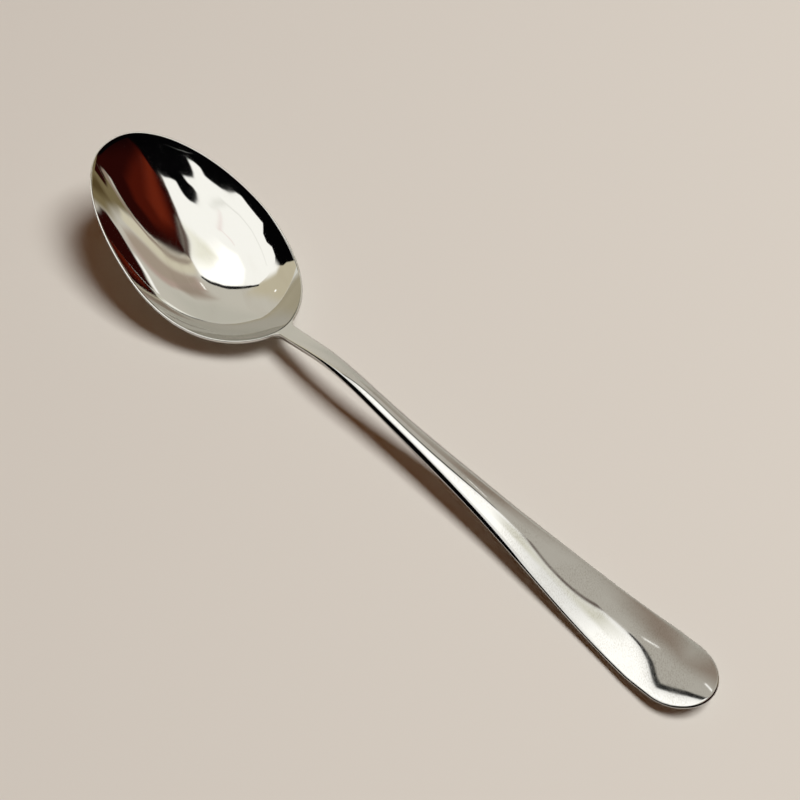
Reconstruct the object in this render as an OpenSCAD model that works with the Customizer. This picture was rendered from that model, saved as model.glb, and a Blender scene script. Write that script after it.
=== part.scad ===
// Serving spoon, pressed and forged from one blank of polished stainless steel.
// The bowl's tip points along -X, the handle runs along +X and +Z is up.
// The spoon rests on z = 0 on the bottom of its bowl and on the end of its handle.
// The origin is on that surface, under the middle of the spoon's box.

/* [Bowl] */
// Length of the bowl from its tip to its widest place
bowl_front_l = 41; // [34:0.5:48]
// Length of the bowl from its widest place to the heel, where the neck starts
bowl_rear_l = 36.4; // [30:0.2:44]
// Width of the bowl across its widest place
bowl_w = 48.8; // [40:0.2:58]
// Depth of the hollow, under the rim
bowl_depth = 9.3; // [6:0.1:12]
// Wall at the middle of the bowl
bowl_wall = 1.4; // [1:0.1:2.4]
// Width of the flat on top of the rim
rim_w = 0.5; // [0.45:0.05:1.2]
// Height of the rim's outer edge
rim_h = 1.2; // [1:0.1:1.8]

/* [Side view] */
// Height of the rim at the tip of the bowl
tip_h = 31.5; // [24:0.5:38]
// Height of the rim at the heel of the bowl
heel_h = 9.2; // [7:0.1:11]
// Sag of the rim under the straight line from tip to heel
rim_sag = 5.3; // [2:0.1:7]
// Height of the handle's top at the crest of its arch
crest_h = 13.6; // [10:0.1:18]
// Height that the handle's end curls up from the surface
curl_h = 2.8; // [0:0.1:5]

/* [Handle] */
// Length of the handle from the heel of the bowl to its end
handle_l = 162.6; // [130:0.2:200]
// Width of the neck at the heel of the bowl
heel_w = 5.3; // [4.4:0.1:8]
// Width of the neck at its narrowest
neck_w = 5; // [4:0.1:7]
// Width of the handle near its end
paddle_w = 20.6; // [14:0.2:26]
// Length of the round end of the handle
round_l = 12.4; // [8:0.2:16]
// Thickness of the neck
neck_t = 4.2; // [3.2:0.1:5.4]
// Thickness of the handle halfway along
middle_t = 4; // [3:0.1:5]
// Thickness of the handle near its end
paddle_t = 2.8; // [2:0.1:4]
// Rise of the handle's crowned top over its edges
crown_h = 0.9; // [0.4:0.1:1.4]
// Radius of the fillets between the neck and the rim
fillet_r = 1.5; // [1:0.1:3]

/* [Edges] */
// Rounding of the upper edges
top_edge_r = 0.33; // [0.2:0.01:0.4]
// Width and height of the bevel along the handle's upper edges, where it is widest
bevel = 1.15; // [0.5:0.05:1.5]
// Rounding of the lower edges
low_edge_r = 0.4; // [0.2:0.05:0.5]

/* [Hidden] */
bowl_l = bowl_front_l + bowl_rear_l;
spoon_l = bowl_l + handle_l;
bowl_half_w = bowl_w / 2;
paddle_half_w = paddle_w / 2;
round_start = spoon_l - round_l;

// Fullness of the bowl's outline in plan, along its length and across it: 2 is an ellipse
front_powers = [1.78, 2.16];
rear_powers = [1.95, 1.76];
// Fullness of the hollow and of the bowl's outside: more gives a flatter bottom and steeper sides
hollow_power = 2.6;
outside_power = 2.8;
// How the crown of the handle's top follows its width
crown_power = 0.6;
// Roundness of the handle's underside
belly_power = 0.6;

// Length under the bowl over which the neck's rib dies away, and the fillet beside it
rib_l = 9;
rib_blend = 1.2;
// Length over which the crown of the handle's top grows from the heel
crown_l = 16;
// Length over which it dies down towards the round end, and the share that is left there
flat_l = 20;
flat_share = 0.65;
// Fullness of the bevel's section: 1 is flat, 2 is round
bevel_power = 1.2;

// Rim between tip and heel: share of the bowl's length, and share of the sag
sag_shares = [[0.39, 0.58], [0.78, 1]];
// Top of the handle: share of its length, and share of the crest's height over the end
arch_shares = [[0.12, 1], [0.26, 0.88], [0.49, 0.53], [0.69, 0.13], [0.87, 0]];
// Width of the handle: share of the length to its widest place, and share of the step from
// the neck's width to the heel's, and then from the neck's width to the end's
taper_shares = [[0, 1], [0.1, 0], [0.25, 1]];
swell_shares = [[0.45, 0.155], [0.65, 0.4], [0.85, 0.755]];
widest_share = 0.95;
// Side of the handle: share of the length to its widest place, and share of the thickness
side_shares = [[0.1, 0.34], [0.26, 0.4], [0.42, 0.54], [0.58, 0.38], [1, 0.34]];
// Bevel: share of the same length, and share of the step from the plain rounding to the bevel
bevel_shares = [[0, 0], [0.1, 0.33], [0.26, 0.85], [0.4, 1], [0.58, 0.86], [0.75, 0.35], [1, 0.3]];

// Counts: the bowl's columns and rows, the handle's columns and those of its round end
bowl_columns = 34;
side_rows = 11;
neck_rows = 8;
handle_columns = 44;
end_columns = 8;
bowl_rows = 2 * side_rows + neck_rows;
neck_last = side_rows + neck_rows;
round_column = bowl_columns + handle_columns;
last_column = round_column + end_columns;
top_steps = 4;
low_steps = 2;
// Share of the lower rounding that the underside's grid is drawn in by, where the bevel is
low_inset_share = 0.3;
// Share of the grid inside the flat of the rim, and how much closer the handle's columns start
hollow_share = 0.95;
closer_share = 0.35;

// Side view of the top edge, from the tip of the bowl to the end of the handle
function chord_h(x) = tip_h + (heel_h - tip_h) * x / bowl_l;
height_knots = [
    [0, tip_h],
    for (s = sag_shares) [s[0] * bowl_l, chord_h(s[0] * bowl_l) - s[1] * rim_sag],
    [bowl_l, heel_h],
    for (s = arch_shares) [bowl_l + s[0] * handle_l, paddle_t + s[1] * (crest_h - paddle_t)],
    [spoon_l, paddle_t + curl_h]
];

// Width, thickness, side and bevel of the handle along its length
swell_l = (round_start - bowl_l) * widest_share;
function place(share) = bowl_l + share * swell_l;
width_knots = [
    for (s = taper_shares) [place(s[0]), neck_w + s[1] * (heel_w - neck_w)],
    for (s = swell_shares) [place(s[0]), neck_w + s[1] * (paddle_w - neck_w)],
    [place(1), paddle_w]
];
thick_knots = [
    [bowl_l, neck_t],
    [place(taper_shares[2][0]), neck_t],
    [place(swell_shares[0][0]), middle_t],
    [place(1), paddle_t]
];
side_knots = [
    [bowl_l, rim_h],
    for (s = side_shares) [place(s[0]), s[1] * eased_on(thick_knots, place(s[0]))]
];
bevel_knots = [for (s = bevel_shares) [place(s[0]), s[1]]];

function clip(b) = min(1, max(0, b));
function ease(b) = b * b * (3 - 2 * b);
function span_at(knots, x, i = 0) =
    i >= len(knots) - 2 || x <= knots[i + 1][0] ? i : span_at(knots, x, i + 1);

// Straight steps between knots, eased at each knot
function eased_on(knots, x) =
    let (
        i = span_at(knots, x),
        b = clip((x - knots[i][0]) / (knots[i + 1][0] - knots[i][0]))
    )
    knots[i][1] + (knots[i + 1][1] - knots[i][1]) * ease(b);

// Smooth curve through knots: a chain of equations gives its bend at each knot, solved forwards
function chain(knots, i = 1, c = 0, d = 0) =
    i > len(knots) - 2 ? [] :
    let (
        before = knots[i][0] - knots[i - 1][0],
        after = knots[i + 1][0] - knots[i][0],
        turn = (knots[i + 1][1] - knots[i][1]) / after - (knots[i][1] - knots[i - 1][1]) / before,
        pivot = 2 * (before + after) - before * c,
        link = [after / pivot, (6 * turn - before * d) / pivot]
    )
    concat([link], chain(knots, i + 1, link[0], link[1]));

// ... and then backwards, with no bend at the two ends
function bends(links, i, after = 0) =
    i < 0 ? [] :
    let (bend = links[i][1] - links[i][0] * after)
    concat(bends(links, i - 1, bend), [bend]);

function curve(knots) =
    let (links = chain(knots))
    [knots, concat([0], bends(links, len(links) - 1), [0])];

function curve_at(line, x) =
    let (
        knots = line[0],
        i = span_at(knots, x),
        step = knots[i + 1][0] - knots[i][0],
        a = (knots[i + 1][0] - x) / step,
        b = 1 - a
    )
    a * knots[i][1] + b * knots[i + 1][1]
        + ((a ^ 3 - a) * line[1][i] + (b ^ 3 - b) * line[1][i + 1]) * step ^ 2 / 6;

height_line = curve(height_knots);
width_line = curve(width_knots);
function edge_h(x) = curve_at(height_line, x);

// Half the handle's width, with the fillets that run out into the rim
function half_w(x) =
    let (f = clip((x - bowl_l) / fillet_r))
    (x < place(1) ? curve_at(width_line, x) / 2 : paddle_half_w)
        + fillet_r * (1 - sqrt(1 - (1 - f) ^ 2));

// Plan of the bowl: its outline at an angle round from the handle
neck_angle = asin((half_w(bowl_l) / bowl_half_w) ^ (rear_powers[1] / 2));
function outline(angle) =
    let (
        c = cos(angle),
        s = sin(angle),
        powers = c < 0 ? front_powers : rear_powers,
        reach = (c < 0 ? bowl_front_l : bowl_rear_l) * abs(c) ^ (2 / powers[0])
    )
    [bowl_front_l + sign(c) * reach, bowl_half_w * sign(s) * abs(s) ^ (2 / powers[1])];

// A square grid laid on a disc: how far out a point lies, and at what angle
function disc(s, t) =
    abs(s) >= abs(t) ? [abs(s), s == 0 ? 0 : (s > 0 ? 0 : 180) + 45 * t / s]
    : [abs(t), (t > 0 ? 90 : 270) - 45 * s / t];

// Shares of the bowl's grid, with one ring of cells for the rim and the neck's rows in the middle
neck_share = neck_angle / 45;
function spread(i, n) = i == 0 ? -1 : i == n ? 1 : -hollow_share * cos(180 * (i - 1) / (n - 2));
function row_share(j) =
    j == 0 ? -1
    : j < side_rows ? -hollow_share + (hollow_share - neck_share) * (j - 1) / (side_rows - 1)
    : j > bowl_rows / 2 ? -row_share(bowl_rows - j)
    : neck_share * across(j);
function across(j) = 2 * (j - side_rows) / neck_rows - 1;
function bowl_disc(i, j) = disc(spread(i, bowl_columns), row_share(j));

// Place of a grid point in plan, out to the true outline
function handle_x(i) =
    let (b = (i - bowl_columns) / handle_columns)
    bowl_l + (round_start - bowl_l) * b * (1 - closer_share + closer_share * b);
function heel_gap(j) = bowl_l - outline(neck_angle * across(j))[0];
function end_disc(i, j) = disc((i - round_column) / end_columns, across(j));
function handle_plan(i, j, pull = 0) =
    i > round_column
        ? let (d = end_disc(i, j), inset = pull * bevel_at(spoon_l))
            [round_start + (round_l - inset) * d[0] * cos(d[1]), (paddle_half_w - inset) * d[0] * sin(d[1])]
        : let (x = handle_x(i), half = half_w(x) - pull * bevel_at(x))
            [x - heel_gap(j) * clip(1 - (x - bowl_l) / fillet_r), across(j) * half];
function bowl_plan(i, j) =
    let (d = bowl_disc(i, j), edge = outline(d[1]))
    [bowl_front_l + d[0] * (edge[0] - bowl_front_l), d[0] * edge[1]];
function plan(i, j) = i <= bowl_columns ? bowl_plan(i, j) : handle_plan(i, j);

// Cells on the outer edge of the grid, once round, anticlockwise from above
edge_cells = [
    for (j = [neck_last:bowl_rows - 1]) [bowl_columns, j],
    for (i = [bowl_columns:-1:1]) [i, bowl_rows],
    for (j = [bowl_rows:-1:1]) [0, j],
    for (i = [0:bowl_columns - 1]) [i, 0],
    for (j = [0:side_rows - 1]) [bowl_columns, j],
    for (i = [bowl_columns:last_column - 1]) [i, side_rows],
    for (j = [side_rows:neck_last - 1]) [last_column, j],
    for (i = [last_column:-1:bowl_columns + 1]) [i, neck_last]
];
edge_count = len(edge_cells);
tip_corner = side_rows + bowl_columns;
low_corner = tip_corner + bowl_rows;
neck_corner = low_corner + bowl_columns + side_rows;
end_corner = neck_corner + last_column - bowl_columns;
function edge_number(i, j) =
    j == bowl_rows && i > 0 ? tip_corner - i
    : i == 0 && j > 0 ? low_corner - j
    : j == 0 && i < bowl_columns ? low_corner + i
    : i == bowl_columns && j < side_rows ? low_corner + bowl_columns + j
    : i == bowl_columns && j >= neck_last ? j - neck_last
    : i == last_column && j < neck_last ? end_corner + j - side_rows
    : j == side_rows && i >= bowl_columns ? neck_corner + i - bowl_columns
    : j == neck_last && i > bowl_columns ? edge_count - i + bowl_columns
    : -1;

// The outline itself and its direction outwards
edge_plan = [for (c = edge_cells) plan(c[0], c[1])];
edge_out = [
    for (k = [0:edge_count - 1])
    let (run = edge_plan[(k + 1) % edge_count] - edge_plan[(k + edge_count - 1) % edge_count])
    [run[1], -run[0]] / norm(run)
];

// Size of the upper edge's rounding or bevel, and the power of its section
function bevel_at(x) = top_edge_r + (bevel - top_edge_r) * eased_on(bevel_knots, x);
function power_at(x) = 2 + (bevel_power - 2) * min(1, 2 * eased_on(bevel_knots, x));

// Height of the side, and the handle's rise and underside across its width
function side_h(x) = max(eased_on(side_knots, x), bevel_at(x) + low_edge_r);
function crown(x) =
    let (
        size = crown_h * (half_w(x) / paddle_half_w) ^ crown_power,
        start = ease(clip((x - bowl_l) / crown_l)),
        stop = ease(clip((round_start - x) / flat_l))
    )
    size * start * (flat_share + (1 - flat_share) * stop) * (1 - bevel_at(x) / half_w(x)) ^ 2;
function belly(x, out) =
    side_h(x) + (eased_on(thick_knots, x) - side_h(x)) * (1 - out ^ 2) ^ belly_power;

// The outside of the bowl, with the neck's rib run in under the heel
function blend_low(a, b, size) =
    size <= 0 ? min(a, b) : min(a, b) - max(size - abs(a - b), 0) ^ 2 / (4 * size);
function outside_h(x, y, out) =
    let (
        shell = rim_h + (bowl_depth + bowl_wall - rim_h) * (1 - out ^ outside_power),
        beside = min(1, abs(y) / half_w(bowl_l)),
        run = ease(clip((x - bowl_l + rib_l) / rib_l)),
        rib = rim_h + (neck_t - rim_h) * (1 - beside ^ 2) ^ belly_power * run
    )
    edge_h(x) + blend_low(-shell, -rib, rib_blend * clip((1 - out) / (1 - hollow_share)));

// Top of the spoon at a grid point inside the edge
function inner_edge(angle) =
    let (
        edge = outline(angle),
        run = outline(angle + 1) - outline(angle - 1)
    )
    edge - rim_w * [run[1], -run[0]] / norm(run);
function hollow_point(i, j) =
    let (
        d = bowl_disc(i, j),
        out = d[0] / hollow_share,
        edge = inner_edge(d[1]),
        x = bowl_front_l + out * (edge[0] - bowl_front_l)
    )
    [x, out * edge[1], edge_h(x) - bowl_depth * (1 - out ^ hollow_power)];
function top_point(i, j) =
    i < bowl_columns ? hollow_point(i, j)
    : let (p = handle_plan(i, j, 1), out = i > round_column ? end_disc(i, j)[0] : across(j))
        [p[0], p[1], edge_h(p[0]) + crown(p[0]) * (1 - out ^ 2)];

// Underside of the spoon at a grid point inside the edge
function low_point(i, j) =
    let (p = i <= bowl_columns ? bowl_plan(i, j) : handle_plan(i, j, low_inset_share))
    i <= bowl_columns ? [p[0], p[1], outside_h(p[0], p[1], bowl_disc(i, j)[0])]
    : let (out = i > round_column ? end_disc(i, j)[0] : across(j))
        [p[0], p[1], edge_h(p[0]) - belly(p[0], out)];

// Rings round the edge, from the top down: how far each is drawn in, and its height
function ring(k, pull, drop) =
    let (p = edge_plan[k] - pull * edge_out[k])
    [p[0], p[1], edge_h(p[0]) - drop];
function upper_ring(k, angle) =
    let (size = bevel_at(edge_plan[k][0]), turn = 2 / power_at(edge_plan[k][0]))
    ring(k, size * (1 - sin(angle) ^ turn), size * (1 - cos(angle) ^ turn));
function lower_ring(k, angle) =
    ring(k, low_edge_r * (1 - cos(angle)),
        side_h(edge_plan[k][0]) - low_edge_r * (1 - sin(angle)));

inner_cells = [
    for (i = [1:bowl_columns - 1], j = [1:bowl_rows - 1]) [i, j],
    for (i = [bowl_columns:last_column - 1], j = [side_rows + 1:neck_last - 1]) [i, j]
];
points = [
    for (c = inner_cells) top_point(c[0], c[1]),
    for (s = [0:top_steps], k = [0:edge_count - 1]) upper_ring(k, 90 * s / top_steps),
    for (s = [0:low_steps], k = [0:edge_count - 1]) lower_ring(k, 90 * s / low_steps),
    for (c = inner_cells) low_point(c[0], c[1])
];
ring_count = top_steps + low_steps + 2;
inner_count = len(inner_cells);
low_first = inner_count + ring_count * edge_count;

function inner_number(i, j) =
    i < bowl_columns ? (i - 1) * (bowl_rows - 1) + j - 1
    : (bowl_columns - 1) * (bowl_rows - 1) + (i - bowl_columns) * (neck_rows - 1) + j - side_rows - 1;
function top_number(i, j) =
    let (k = edge_number(i, j))
    k < 0 ? inner_number(i, j) : inner_count + k;
function low_number(i, j) =
    let (k = edge_number(i, j))
    k < 0 ? low_first + inner_number(i, j) : low_first - edge_count + k;
function ring_number(r, k) = inner_count + r * edge_count + k % edge_count;

cells = [
    for (i = [0:bowl_columns - 1], j = [0:bowl_rows - 1]) [i, j],
    for (i = [bowl_columns:last_column - 1], j = [side_rows:neck_last - 1]) [i, j]
];
function corners(c) = [c, c + [1, 0], c + [1, 1], c + [0, 1]];
faces = [
    for (c = cells)
    let (q = [for (p = corners(c)) top_number(p[0], p[1])])
    each [[q[0], q[3], q[2]], [q[0], q[2], q[1]]],
    for (r = [0:ring_count - 2], k = [0:edge_count - 1])
    let (a = ring_number(r, k), b = ring_number(r, k + 1))
    each [[a, b, b + edge_count], [a, b + edge_count, a + edge_count]],
    for (c = cells)
    let (q = [for (p = corners(c)) low_number(p[0], p[1])])
    each [[q[0], q[2], q[3]], [q[0], q[1], q[2]]]
];
lowest = min([for (p = points) p[2]]);

module spoon() {
    color("silver")
    translate([-spoon_l / 2, 0, -lowest])
    polyhedron(points, faces, convexity = 6);
}

spoon();
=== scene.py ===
"""Serving spoon of polished stainless steel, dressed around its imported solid.

The spoon is one piece of metal, so one modelled piece stands for the one CAD node.
All lengths are in metres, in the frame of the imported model: the bowl's tip points along -X,
the handle runs along +X, +Z is up and the spoon rests on z = 0.
"""

import logging
import math
from bisect import bisect_left
from dataclasses import dataclass, field, replace
from enum import Enum

import bmesh
import bpy
import numpy as np
from mathutils import Matrix, Vector


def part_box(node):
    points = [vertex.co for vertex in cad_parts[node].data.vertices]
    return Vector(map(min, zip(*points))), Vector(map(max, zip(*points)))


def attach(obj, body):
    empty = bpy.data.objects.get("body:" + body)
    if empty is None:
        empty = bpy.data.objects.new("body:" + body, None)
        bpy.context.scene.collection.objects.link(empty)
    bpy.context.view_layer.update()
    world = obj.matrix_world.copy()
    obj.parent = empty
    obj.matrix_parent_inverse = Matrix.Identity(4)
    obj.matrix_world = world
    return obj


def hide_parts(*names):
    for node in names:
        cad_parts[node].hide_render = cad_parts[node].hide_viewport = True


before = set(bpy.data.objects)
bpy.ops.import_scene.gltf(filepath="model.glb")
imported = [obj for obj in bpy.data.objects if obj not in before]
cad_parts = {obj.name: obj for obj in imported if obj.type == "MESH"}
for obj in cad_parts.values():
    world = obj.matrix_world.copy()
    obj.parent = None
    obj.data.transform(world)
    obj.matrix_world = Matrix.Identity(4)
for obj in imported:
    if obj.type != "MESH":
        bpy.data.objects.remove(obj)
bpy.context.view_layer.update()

log = logging.getLogger("serving_spoon")

MM = 0.001
PHOTO_PIXELS = 800
NODE = "spoon"
BODY = "root"
PIECE = "polished_spoon"
WEAR = "wear"
# share of the handle: handling grain, and painted shade that darkens the handle's steel
HANDLE_WEAR_AND_SHADE = "handle_wear_and_shade"
LIGHT = "light"

Knots = list[tuple[float, float]]
Pairs = tuple[tuple[float, float], ...]
Tint = tuple[float, float, float]
Vert = bmesh.types.BMVert
Tree = bpy.types.NodeTree
Socket = bpy.types.NodeSocket
Inputs = dict[str | int, float | tuple | Socket]

BACKDROP: Tint = (0.804, 0.773, 0.733)


def clip(value: float) -> float:
    """Limits a value to the range from 0 to 1."""
    return min(1.0, max(0.0, value))


def ease(value: float | np.ndarray) -> float | np.ndarray:
    """Turns a straight run from 0 to 1 into one that starts and ends level."""
    return value * value * (3.0 - 2.0 * value)


def placed(name: str, net: bmesh.types.BMesh) -> bpy.types.Object:
    """Turns a net into an object of the scene.

    Args:
        name: name of the object and its mesh.
        net: the net, which is freed.

    Returns:
        The object.
    """
    mesh = bpy.data.meshes.new(name)
    net.to_mesh(mesh)
    net.free()
    shape = bpy.data.objects.new(name, mesh)
    bpy.context.scene.collection.objects.link(shape)
    return shape


class SmoothCurve:
    """Curve through knots with no sudden change of bend, as a bent spline batten takes."""

    def __init__(self, knots: Knots) -> None:
        """Solves the bend at each knot, with none at the two ends.

        Args:
            knots: places along the curve, rising, each with its value.
        """
        self.places, self.values = np.array(knots).T
        steps = np.diff(self.places)
        turns = np.diff(np.diff(self.values) / steps)
        links = np.diag(2.0 * (steps[:-1] + steps[1:]))
        links += np.diag(steps[1:-1], 1) + np.diag(steps[1:-1], -1)
        self.bends = np.pad(np.linalg.solve(links, 6.0 * turns), 1)

    def at(self, place: float) -> float:
        """Gives the value at a place along the curve.

        Args:
            place: place along the curve.

        Returns:
            The value there.
        """
        i = min(max(bisect_left(self.places, place), 1), len(self.places) - 1)
        step = self.places[i] - self.places[i - 1]
        a = (self.places[i] - place) / step
        b = 1.0 - a
        swing = (a ** 3 - a) * self.bends[i - 1] + (b ** 3 - b) * self.bends[i]
        return float(a * self.values[i - 1] + b * self.values[i] + swing * step * step / 6.0)


class EasedSteps:
    """Values that step from knot to knot and are level at each."""

    def __init__(self, knots: Knots) -> None:
        """Keeps the knots, places rising."""
        self.knots = knots

    def at(self, place: float) -> float:
        """Gives the value at a place, level outside the knots.

        Args:
            place: place along the steps.

        Returns:
            The value there.
        """
        for (low, start), (high, stop) in zip(self.knots, self.knots[1:]):
            if place <= high:
                return start + (stop - start) * ease(clip((place - low) / (high - low)))
        return self.knots[-1][1]


@dataclass(frozen=True)
class BowlSizes:
    """Sizes of the bowl, with x measured from its tip."""

    front_l: float = 41.0 * MM
    rear_l: float = 36.4 * MM
    width: float = 48.8 * MM
    depth: float = 9.3 * MM
    wall: float = 1.4 * MM
    rim_w: float = 0.5 * MM
    rim_h: float = 1.2 * MM
    lip_r: float = 0.12 * MM
    front_powers: tuple[float, float] = (1.78, 2.16)
    rear_powers: tuple[float, float] = (1.95, 1.76)
    hollow_power: float = 2.6
    outside_power: float = 2.8
    lip_flat_share: float = 0.25
    lip_stretch: float = 1.3
    rib_l: float = 9.0 * MM
    rib_blend: float = 1.2 * MM

    @property
    def length(self) -> float:
        """Length from the tip to the heel."""
        return self.front_l + self.rear_l


@dataclass(frozen=True)
class HandleSizes:
    """Sizes of the handle, from the heel of the bowl to its round end."""

    length: float = 162.6 * MM
    heel_w: float = 5.3 * MM
    neck_w: float = 5.0 * MM
    paddle_w: float = 20.6 * MM
    round_l: float = 12.4 * MM
    neck_t: float = 4.2 * MM
    middle_t: float = 4.0 * MM
    paddle_t: float = 2.8 * MM
    crown_h: float = 0.9 * MM
    crown_l: float = 16.0 * MM
    crown_power: float = 0.6
    belly_power: float = 0.6
    fillet_r: float = 1.5 * MM
    taper_shares: Pairs = ((0.0, 1.0), (0.1, 0.0), (0.25, 1.0))
    swell_shares: Pairs = ((0.45, 0.155), (0.65, 0.4), (0.85, 0.755))
    widest_share: float = 0.95
    side_shares: Pairs = (
        (0.1, 0.34), (0.26, 0.4), (0.42, 0.54), (0.58, 0.38), (1.0, 0.34))
    bevel: float = 1.15 * MM
    bevel_shares: Pairs = (
        (0.0, 0.0), (0.1, 0.33), (0.26, 0.85), (0.4, 1.0), (0.58, 0.86), (0.75, 0.35), (1.0, 0.3))
    flat_l: float = 20.0 * MM
    flat_share: float = 0.65


@dataclass(frozen=True)
class SideView:
    """Heights of the top edge over the table, from the tip of the bowl to the handle's end."""

    tip_h: float = 31.5 * MM
    heel_h: float = 9.2 * MM
    rim_sag: float = 5.3 * MM
    crest_h: float = 13.6 * MM
    curl_h: float = 2.8 * MM
    sag_shares: Pairs = ((0.39, 0.58), (0.78, 1.0))
    arch_shares: Pairs = (
        (0.12, 1.0), (0.26, 0.88), (0.49, 0.53), (0.69, 0.13), (0.87, 0.0))


@dataclass(frozen=True)
class EdgeSizes:
    """Rounding of the long edges."""

    top_r: float = 0.33 * MM
    low_r: float = 0.4 * MM
    top_steps: int = 8
    low_steps: int = 3
    bevel_power: float = 1.2
    full_share: float = 0.5


@dataclass(frozen=True)
class GridCounts:
    """Rows and columns of the sheet that the spoon is pressed from."""

    bowl_columns: int = 104
    side_rows: int = 40
    neck_rows: int = 16
    lip_cells: int = 4
    handle_columns: int = 170
    end_columns: int = 22
    hollow_share: float = 0.955
    closer_share: float = 0.35
    under_pull: float = 0.3
    cell_gap: float = 0.01

    @property
    def bowl_rows(self) -> int:
        """Rows across the whole bowl."""
        return 2 * self.side_rows + self.neck_rows

    @property
    def round_column(self) -> int:
        """Column where the handle's round end starts."""
        return self.bowl_columns + self.handle_columns

    @property
    def last_column(self) -> int:
        """Column at the very end of the handle."""
        return self.round_column + self.end_columns


class SpoonForm:
    """The spoon's shape as rules: outline in plan, side view, hollow and underside."""

    ANGLE_STEP = math.radians(0.5)
    ROUND_POWER = 2.0

    def __init__(self, bowl: BowlSizes, handle: HandleSizes, side: SideView,
                 edge: EdgeSizes) -> None:
        """Draws the spoon's long curves from its sizes.

        Args:
            bowl: sizes of the bowl.
            handle: sizes of the handle.
            side: heights of the side view.
            edge: rounding of the edges.
        """
        self.bowl = bowl
        self.handle = handle
        self.edge = edge
        self.total_l = bowl.length + handle.length
        self.round_start = self.total_l - handle.round_l
        self.swell_l = (self.round_start - bowl.length) * handle.widest_share
        self.heights = SmoothCurve(self._height_knots(side))
        self.widths = SmoothCurve(self._width_knots())
        self.thicks = EasedSteps(self._thick_knots())
        self.sides = EasedSteps(self._side_knots())
        self.bevels = EasedSteps([(self._place(s), share) for s, share in handle.bevel_shares])
        self.heel_half_w = self.half_w(bowl.length)
        reach = self.heel_half_w / (bowl.width / 2.0)
        self.neck_angle = math.asin(reach ** (bowl.rear_powers[1] / 2.0))

    def _height_knots(self, side: SideView) -> Knots:
        """Places the heights of the side view along the spoon.

        Args:
            side: heights of the side view.

        Returns:
            Places along the spoon with their heights.
        """
        bowl_l = self.bowl.length
        knots = [(0.0, side.tip_h)]
        for place, sag in side.sag_shares:
            chord = side.tip_h + (side.heel_h - side.tip_h) * place
            knots.append((place * bowl_l, chord - sag * side.rim_sag))
        knots.append((bowl_l, side.heel_h))
        end_h = self.handle.paddle_t
        for place, rise in side.arch_shares:
            height = end_h + rise * (side.crest_h - end_h)
            knots.append((bowl_l + place * self.handle.length, height))
        knots.append((self.total_l, end_h + side.curl_h))
        return knots

    def _place(self, share: float) -> float:
        """Place along the swell of the handle, from the heel to its widest point."""
        return self.bowl.length + share * self.swell_l

    def _width_knots(self) -> Knots:
        """Widths of the handle along its length.

        Returns:
            Places along the spoon with their widths.
        """
        handle = self.handle
        neck = handle.neck_w
        runs = ((handle.heel_w, handle.taper_shares),
                (handle.paddle_w, (*handle.swell_shares, (1.0, 1.0))))
        return [(self._place(place), neck + share * (width - neck))
                for width, shares in runs for place, share in shares]

    def _thick_knots(self) -> Knots:
        """Thickness of the handle along its length.

        Returns:
            Places along the spoon with their thickness.
        """
        handle = self.handle
        return [
            (self.bowl.length, handle.neck_t),
            (self._place(handle.taper_shares[2][0]), handle.neck_t),
            (self._place(handle.swell_shares[0][0]), handle.middle_t),
            (self._place(1.0), handle.paddle_t),
        ]

    def _side_knots(self) -> Knots:
        """Height of the upright part of the handle's side along its length.

        Returns:
            Places along the spoon with their heights.
        """
        knots = [(self.bowl.length, self.bowl.rim_h)]
        for place, share in self.handle.side_shares:
            x = self._place(place)
            knots.append((x, share * self.thicks.at(x)))
        return knots

    def edge_h(self, x: float) -> float:
        """Height of the top edge at a place along the spoon."""
        return self.heights.at(x)

    def hung(self, place: Vector, drop: float) -> Vector:
        """Point over a place in plan, at a drop under the top edge."""
        return Vector((*place, self.edge_h(place.x) - drop))

    def side_h(self, x: float) -> float:
        """Height of the side at a place along the spoon, down to its lower edge."""
        return max(self.sides.at(x), self.bevel(x)[0] + self.edge.low_r)

    def bevel(self, x: float) -> tuple[float, float]:
        """Section of the upper edge at a place along the spoon.

        Args:
            x: place along the spoon.

        Returns:
            Size of the rounded or bevelled edge, and the power of its curve, 2 for a round one.
        """
        share = self.bevels.at(x)
        radius = self.edge.top_r
        sharper = clip(share / self.edge.full_share) * (self.edge.bevel_power - self.ROUND_POWER)
        return radius + (self.handle.bevel - radius) * share, self.ROUND_POWER + sharper

    def half_w(self, x: float) -> float:
        """Half the handle's width, with the fillets that run out into the bowl's rim.

        Args:
            x: place along the spoon.

        Returns:
            Half the width.
        """
        half = self.widths.at(x) / 2.0 if x < self._place(1.0) else self.handle.paddle_w / 2.0
        run = clip((x - self.bowl.length) / self.handle.fillet_r)
        return half + self.handle.fillet_r * (1.0 - math.sqrt(1.0 - (1.0 - run) ** 2))

    def outline(self, angle: float) -> Vector:
        """Point of the bowl's outline at an angle round from the handle.

        Args:
            angle: angle round the bowl, 0 towards the handle.

        Returns:
            The place in plan.
        """
        bowl = self.bowl
        along, across = math.cos(angle), math.sin(angle)
        powers = bowl.rear_powers if along >= 0.0 else bowl.front_powers
        reach = bowl.rear_l if along >= 0.0 else bowl.front_l
        x = bowl.front_l + math.copysign(reach * abs(along) ** (2.0 / powers[0]), along)
        y = math.copysign(bowl.width / 2.0 * abs(across) ** (2.0 / powers[1]), across)
        return Vector((x, y))

    def outline_out(self, angle: float) -> Vector:
        """Direction outwards from the bowl's outline at an angle."""
        run = self.outline(angle + self.ANGLE_STEP) - self.outline(angle - self.ANGLE_STEP)
        return Vector((run.y, -run.x)).normalized()

    def drawn_in(self, angle: float, pull: float) -> Vector:
        """Point of the bowl's outline, drawn in by a distance."""
        return self.outline(angle) - pull * self.outline_out(angle)

    def shrunk(self, angle: float, pull: float, out: float) -> Vector:
        """Point of the drawn in outline, shrunk towards the bowl's middle, by 1 for not at all."""
        centre = Vector((self.bowl.front_l, 0.0))
        return centre + out * (self.drawn_in(angle, pull) - centre)

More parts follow.
